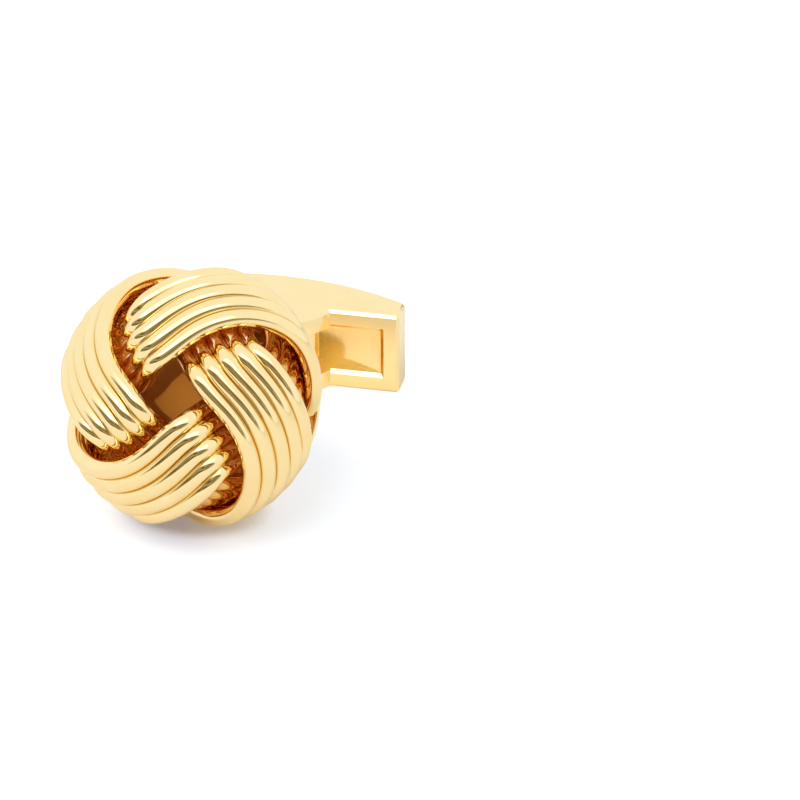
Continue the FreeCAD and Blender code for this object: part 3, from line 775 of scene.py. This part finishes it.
class BendPost(bpy.types.Operator):
    """Bend the stem and round the flat tongue that turns on the pin"""
    bl_idname = "cufflink.bend_post"
    bl_label = "Bend post"

    def execute(self, context):
        knot = context.scene.cuff_knot
        s = context.scene.cuff_plate
        bar = context.scene.cuff_bar
        middle = Vector(knot.middle)
        along = Vector((0, math.cos(knot.lean), -math.sin(knot.lean)))
        level = bar.height / 2
        corner = middle + along * ((middle.z - level) / math.sin(knot.lean))
        run = s.stem_bend * math.tan(knot.lean / 2)
        first = middle + along * (knot.end_depth - s.rivet)
        bend_start = corner - along * run
        lean_steps, bend_steps, level_steps = 12, 24, 6
        points = [first.lerp(bend_start, i / lean_steps) for i in range(lean_steps + 1)]
        hub = corner + Vector((0, run, s.stem_bend))
        for i in range(1, bend_steps + 1):
            turn = knot.lean * (1 - i / bend_steps)
            points.append(hub + Vector((0, -math.sin(turn), -math.cos(turn))) * s.stem_bend)
        stop = Vector((0, HINGE_Y - s.tongue_length + s.stem_overlap, level))
        start = points[-1]
        points += [start.lerp(stop, i / level_steps) for i in range(1, level_steps + 1)]
        finish = gold("stamped_gold_plate")
        stem = swept_mesh("stem", points, s.stem_radius, ROUND_STEPS, finish)
        smooth_by_angle(stem, degrees=40)
        r, quarter = s.tongue_round, math.pi / 2
        x, front = s.tongue_side - r, HINGE_Y + s.tongue_side - r
        back = HINGE_Y - s.tongue_length + r
        outline = []
        for number, hub in enumerate(((x, front), (-x, front), (-x, back), (x, back))):
            outline += corner_arc(hub, r, number * quarter, (number + 1) * quarter, CORNER_STEPS)
        holder = scratch(prism("tongue", outline, s.tongue_low, bar.height - s.tongue_low))
        bevelled(holder, s.tongue_bevel, segments=3, degrees=50)
        bore = hinge_circle(bar.pin_radius + s.bore_room)
        cutters = cut_away(holder, prism("pin_bore", bore, -MM, bar.height + MM))
        tongue = applied(holder, "tongue", cutters)
        smooth_by_angle(tongue, degrees=35)
        both = bmesh.new()
        both.from_mesh(stem)
        both.from_mesh(tongue)
        mesh = bpy.data.meshes.new("post_gold")
        both.to_mesh(mesh)
        both.free()
        mesh.materials.clear()
        mesh.materials.append(finish)
        finish_piece(mesh, "post_gold", "knot", ["post"], finish)
        return {"FINISHED"}


class ShapeToggle(bpy.types.Operator):
    """Shape the whale-back bar with its hump and trough"""
    bl_idname = "cufflink.shape_toggle"
    bl_label = "Shape toggle"

    def execute(self, context):
        s = context.scene.cuff_bar
        front = HINGE_Y + s.lead
        end = math.asin(s.half / s.back)
        outline = [(s.half, front)]
        outline += corner_arc((0, front + s.thick - s.back), s.back,
                              math.pi / 2 - end, math.pi / 2 + end, LONG_STEPS)
        outline.append((-s.half, front))
        lead = s.lead + s.hump_front
        round_hump = (s.hump_root ** 2 + lead ** 2) / (2 * lead)
        swing = math.asin(s.hump_root / round_hump)
        outline += corner_arc((0, front - lead + round_hump), round_hump,
                              -math.pi / 2 - swing, -math.pi / 2 + swing, CURVE_STEPS)
        holder = scratch(marked_for_bevel(prism("bar", outline, 0, s.height), s.half))
        bevelled(holder, s.bevel, segments=1, degrees=50).limit_method = "WEIGHT"
        reach = s.half - s.wall
        nose = front - lead - MM
        swing = math.asin(reach / s.trough_curve)
        plan = [(-reach, nose), (reach, nose)]
        plan += corner_arc((0, front + s.trough - s.trough_curve), s.trough_curve,
                           math.pi / 2 - swing, math.pi / 2 + swing, CURVE_STEPS)
        ring = hinge_circle(s.pin_radius + s.pin_ring)
        cutters = cut_away(holder, prism("trough", plan, s.rail, s.height - s.rail),
                           rim_bevel("right_rim", s.hump_root, reach, s),
                           rim_bevel("left_rim", -s.hump_root, -reach, s),
                           prism("pin_hole", ring, -MM, s.height + MM))
        bevelled(holder, s.fine_bevel, segments=2, degrees=38)
        mesh = cleaned(applied(holder, "cut_bar", cutters))
        smooth_by_angle(mesh, degrees=32)
        mesh = flat_faced(mesh, "toggle_bar_gold")
        finish_piece(mesh, "toggle_bar_gold", "toggle", ["toggle_bar"],
                     gold("tumbled_gold_plate"))
        return {"FINISHED"}


class TurnHingePin(bpy.types.Operator):
    """Turn the hinge pin that sits in the bar's hump"""
    bl_idname = "cufflink.turn_hinge_pin"
    bl_label = "Turn hinge pin"

    def execute(self, context):
        s = context.scene.cuff_bar
        edge, inner = s.pin_round, s.pin_radius - s.pin_round
        profile = [(0, 0)] + corner_arc((inner, edge), edge, -math.pi / 2, 0, EDGE_STEPS)
        profile += corner_arc((inner, s.height - edge), edge, 0, math.pi / 2, EDGE_STEPS) + [(0, s.height)]
        mesh = lathe("hinge_pin_gold", profile, ROUND_STEPS)
        mesh.transform(Matrix.Translation((0, HINGE_Y, 0)))
        smooth_by_angle(mesh, degrees=40)
        finish_piece(mesh, "hinge_pin_gold", "toggle", ["hinge_pin"], gold("polished_gold_plate"))
        return {"FINISHED"}


class BowLeafSpring(bpy.types.Operator):
    """Bow the leaf spring that bears on the tongue"""
    bl_idname = "cufflink.bow_leaf_spring"
    bl_label = "Bow leaf spring"

    def execute(self, context):
        s = context.scene.cuff_bar
        low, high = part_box("leaf_spring")
        bow = high.y - low.y - s.spring_gauge
        inner = (high.x ** 2 + bow ** 2) / (2 * bow)
        outer = inner + s.spring_gauge
        swing = math.asin(high.x / outer)
        first, last = -math.pi / 2 - swing, -math.pi / 2 + swing
        hub = (0, low.y + outer)
        outline = corner_arc(hub, outer, first, last, CURVE_STEPS)
        outline += corner_arc(hub, inner, last, first, CURVE_STEPS)
        holder = scratch(prism("leaf", outline, low.z, high.z))
        bevelled(holder, s.spring_bevel, segments=2, degrees=50)
        mesh = applied(holder, "leaf_spring_brass")
        smooth_by_angle(mesh, degrees=35)
        finish_piece(mesh, "leaf_spring_brass", "toggle", ["leaf_spring"],
                     gold("rolled_spring_brass"))
        return {"FINISHED"}


def plain_plane(name, corners, material):
    mesh = bpy.data.meshes.new(name)
    mesh.from_pydata(corners, [], [(0, 1, 2, 3)])
    mesh.materials.append(material)
    thing = bpy.data.objects.new(name, mesh)
    bpy.context.collection.objects.link(thing)
    return thing


def table_material():
    # White table that takes the shadow. The camera sees it lifted by a cool glow, less so round the knot and
    # hardly under its foot, which paints a contact shadow and a soft shadow there; polished metal sees a
    # painted warm pool, for the light that the gold throws on it.
    looks = bpy.context.scene.cuff_stage
    material, tree = empty_material("white_table")
    cloth = node(tree, "ShaderNodeBsdfDiffuse", {"Color": linear(looks.table)})
    path = node(tree, "ShaderNodeLightPath")
    seen = path.outputs["Is Camera Ray"]
    mirrored = node(tree, "ShaderNodeMath", links={
        0: path.outputs["Is Glossy Ray"], 1: path.outputs["Is Transmission Ray"]}, operation="MAXIMUM")
    foot, pool = (looks.foot, looks.foot_size), (looks.pool, looks.pool_size)
    surface = cloth.outputs["BSDF"]
    for spot, run, strengths, tint, rays in (
            (foot, FOOT_EDGE, (looks.foot_shadow_lift, looks.shadow_lift), looks.shadow_lift_tint, seen),
            (foot, OPEN_TABLE, (0.0, looks.far_shadow_lift), looks.shadow_lift_tint, seen),
            (pool, POOL_EDGE, (looks.warm_glow, looks.far_warm_glow), looks.warm_tint, mirrored.outputs["Value"])):
        lift = table_lift(tree, spot, run, strengths, tint, rays)
        surface = node(tree, "ShaderNodeAddShader", links={0: surface, 1: lift}).outputs["Shader"]
    node(tree, "ShaderNodeOutputMaterial", links={"Surface": surface})
    return material


def table_lift(tree, spot, run, strengths, tint, rays):
    # Glow of the table itself for one kind of ray, changing with the distance from a spot, which paints
    # shadow or a pool of light.
    hub, reach = spot
    place = node(tree, "ShaderNodeTexCoord")
    local = node(tree, "ShaderNodeMapping", {"Location": hub, "Scale": reach},
                 {"Vector": place.outputs["Object"]}, vector_type="TEXTURE")
    away = node(tree, "ShaderNodeVectorMath", links={0: local.outputs["Vector"]}, operation="LENGTH")
    levels = {"From Min": run[0], "From Max": run[1], "To Min": strengths[0], "To Max": strengths[1]}
    lift = node(tree, "ShaderNodeMapRange", levels, {"Value": away.outputs["Value"]},
                interpolation_type="SMOOTHSTEP")
    share = node(tree, "ShaderNodeMath", links={0: lift.outputs["Result"], 1: rays}, operation="MULTIPLY")
    glow = node(tree, "ShaderNodeEmission", {"Color": linear(tint)}, {"Strength": share.outputs["Value"]})
    return glow.outputs["Emission"]


def seen_directly(tree):
    # 1 for rays of the camera and of gloss and glass, 0 for the light that surfaces scatter.
    path = node(tree, "ShaderNodeLightPath")
    seen = path.outputs["Is Camera Ray"]
    for kind in ("Is Glossy Ray", "Is Transmission Ray"):
        either = node(tree, "ShaderNodeMath", links={0: seen, 1: path.outputs[kind]}, operation="MAXIMUM")
        seen = either.outputs["Value"]
    return seen


def card_place(tree, card):
    # Coordinates that run from -1 to 1 over a card.
    hub, right, up = card
    turn = Matrix((right.normalized(), up.normalized(), right.cross(up).normalized())).transposed()
    place = node(tree, "ShaderNodeTexCoord")
    spot = node(tree, "ShaderNodeMapping", {"Location": hub, "Rotation": turn.to_euler(),
                                            "Scale": (right.length, up.length, 1.0)},
                {"Vector": place.outputs["Object"]}, vector_type="TEXTURE")
    return spot.outputs["Vector"]


def fading_card(tree, spot, shine, start):
    # Let a shining card fade out towards its edge.
    away = node(tree, "ShaderNodeVectorMath", links={0: spot}, operation="LENGTH")
    fade = node(tree, "ShaderNodeMapRange", {"From Min": start, "From Max": 1.0},
                {"Value": away.outputs["Value"]}, interpolation_type="SMOOTHSTEP")
    clear = node(tree, "ShaderNodeBsdfTransparent")
    both = node(tree, "ShaderNodeMixShader", links={
        "Fac": fade.outputs["Result"], 1: shine.outputs["Emission"], 2: clear.outputs["BSDF"]})
    node(tree, "ShaderNodeOutputMaterial", links={"Surface": both.outputs["Shader"]})


def studio_end_material(card):
    # Dim end of the studio, low and wide: warm wood with darker and lighter things along it.
    looks = bpy.context.scene.cuff_stage
    material, tree = empty_material("dim_studio_end")
    spot = card_place(tree, card)
    things = node(tree, "ShaderNodeTexNoise", {"Scale": looks.end_things, "Detail": 1.0}, {"Vector": spot})
    tones = {"From Min": 0.40, "From Max": 0.60, "To Min": looks.end_black, "To Max": looks.end_grey}
    tone = node(tree, "ShaderNodeMapRange", tones, {"Value": things.outputs["Fac"]})
    wall = node(tree, "ShaderNodeEmission", {"Color": linear(looks.end_tint)},
                {"Strength": tone.outputs["Result"]})
    fading_card(tree, spot, wall, looks.end_dark)
    return material


def tent_glow_material(name, card, strength, start):
    # Bright part of the white tent that draws the pale streaks and glints.
    material, tree = empty_material(name)
    glow = node(tree, "ShaderNodeEmission", {"Color": (1, 1, 1, 1), "Strength": strength})
    fading_card(tree, card_place(tree, card), glow, start)
    return material


def facing(direction, distance, half_wide, half_tall):
    # Middle, rightward half and upward half of a card that looks at the knot from a direction.
    ahead = -direction.normalized()
    right = ahead.cross(STAGE_TOP).normalized()
    up = right.cross(ahead)
    return KNOT_HUB - ahead * distance, right * half_wide, up * half_tall


def gloss_card(name, card, material):
    # A card that only polished metal sees.
    hub, right, up = card
    thing = plain_plane(name, [hub + right * a + up * b for a, b in CARD_CORNERS], material)
    thing.visible_camera = False
    thing.visible_diffuse = False
    thing.visible_shadow = False


def towards(side, height):
    # Direction that lies right of the front by one angle and above the table by another.
    level = math.cos(height)
    return Vector((math.sin(side) * level, -math.cos(side) * level, math.sin(height)))


def aimed_lamp(name, kind, spot, power):
    # A lamp that looks at the knot and lights dull surfaces only. Polished metal sees the cards instead.
    lamp = bpy.data.lights.new(name, kind)
    lamp.energy = power
    holder = bpy.data.objects.new(name, lamp)
    holder.location = spot
    holder.rotation_euler = (holder.location - KNOT_HUB).to_track_quat("Z", "Y").to_euler()
    holder.visible_glossy = False
    bpy.context.collection.objects.link(holder)
    return lamp


class SetStage(bpy.types.Operator):
    """Set the white table, the soft light, the cards that the metal mirrors and the camera"""
    bl_idname = "cufflink.set_stage"
    bl_label = "Set stage"

    def execute(self, context):
        looks = context.scene.cuff_stage
        scene = context.scene
        scene.view_settings.view_transform = "Standard"
        scene.cycles.max_bounces = MIRROR_BOUNCES
        scene.cycles.glossy_bounces = MIRROR_BOUNCES
        plain_plane("table", [(a * TABLE_HALF, b * TABLE_HALF, 0) for a, b in CARD_CORNERS], table_material())
        back = towards(looks.azimuth, looks.elevation)
        aside = Vector((math.cos(looks.azimuth), math.sin(looks.azimuth), 0))
        end = back + aside * looks.end_aside - STAGE_TOP * looks.end_low
        wall = facing(end, WALL_AWAY, looks.end_wide, looks.end_tall)
        gloss_card("studio_end", wall, studio_end_material(wall))
        for name, (half_wide, half_tall, strength, start) in TENT_CARDS.items():
            glow = facing(Vector(getattr(looks, name)), CARD_AWAY, half_wide, half_tall)
            gloss_card(name, glow, tent_glow_material(name, glow, strength, start))

        world = bpy.data.worlds.new("white_studio")
        scene.world = world
        world.use_nodes = True
        tree = world.node_tree
        tree.nodes.clear()
        level = node(tree, "ShaderNodeMapRange", {"To Min": looks.ambient, "To Max": 1.0},
                     {"Value": seen_directly(tree)})
        sky = node(tree, "ShaderNodeBackground", {"Color": (1, 1, 1, 1)},
                   {"Strength": level.outputs["Result"]})
        node(tree, "ShaderNodeOutputWorld", links={"Surface": sky.outputs["Background"]})

        softbox = aimed_lamp("front_softbox", "AREA", looks.softbox_place, looks.softbox)
        softbox.shape = "RECTANGLE"
        softbox.size = looks.softbox_wide
        softbox.size_y = looks.softbox_tall
        # The beam shows the dull plate behind the knot's hole.
        spot = KNOT_HUB + towards(looks.hole_side, looks.hole_height) * BEAM_AWAY
        beam = aimed_lamp("hole_spot", "SPOT", spot, looks.hole_spot)
        beam.spot_size = looks.hole_beam
        beam.spot_blend = 1.0
        beam.shadow_soft_size = looks.hole_source

        camera = bpy.data.cameras.new("photo_camera")
        camera.sensor_width = 36.0
        camera.lens = looks.lens
        camera.clip_start = 0.01
        camera.clip_end = 10.0
        eye = bpy.data.objects.new("photo_camera", camera)
        eye.location = Vector(looks.target) + back * looks.distance
        eye.rotation_euler = (-back).to_track_quat("-Z", "Y").to_euler()
        context.collection.objects.link(eye)
        scene.camera = eye
        return {"FINISHED"}


class CufflinkPanel(bpy.types.Panel):
    bl_idname = "VIEW3D_PT_cufflink"
    bl_label = "Woven Knot Cufflink"
    bl_space_type = "VIEW_3D"
    bl_region_type = "UI"
    bl_category = "Cufflink"

    def draw(self, context):
        for kind in OPERATORS:
            self.layout.operator(kind.bl_idname)
        for group, kind in GROUPS.items():
            box = self.layout.box()
            for name in kind.__annotations__:
                box.prop(getattr(context.scene, group), name)


OPERATORS = (WeaveKnot, TurnBackPlate, BendPost, ShapeToggle, TurnHingePin, BowLeafSpring, SetStage)


def register():
    for kind in (*GROUPS.values(), *OPERATORS, CufflinkPanel):
        bpy.utils.register_class(kind)
    for group, kind in GROUPS.items():
        setattr(bpy.types.Scene, group, PointerProperty(type=kind))


def unregister():
    for group in GROUPS:
        delattr(bpy.types.Scene, group)
    for kind in reversed((*GROUPS.values(), *OPERATORS, CufflinkPanel)):
        bpy.utils.unregister_class(kind)


def main():
    register()
    bpy.ops.cufflink.weave_knot()
    bpy.ops.cufflink.turn_back_plate()
    bpy.ops.cufflink.bend_post()
    bpy.ops.cufflink.shape_toggle()
    bpy.ops.cufflink.turn_hinge_pin()
    bpy.ops.cufflink.bow_leaf_spring()
    bpy.ops.cufflink.set_stage()


if __name__ == "__main__":
    main()
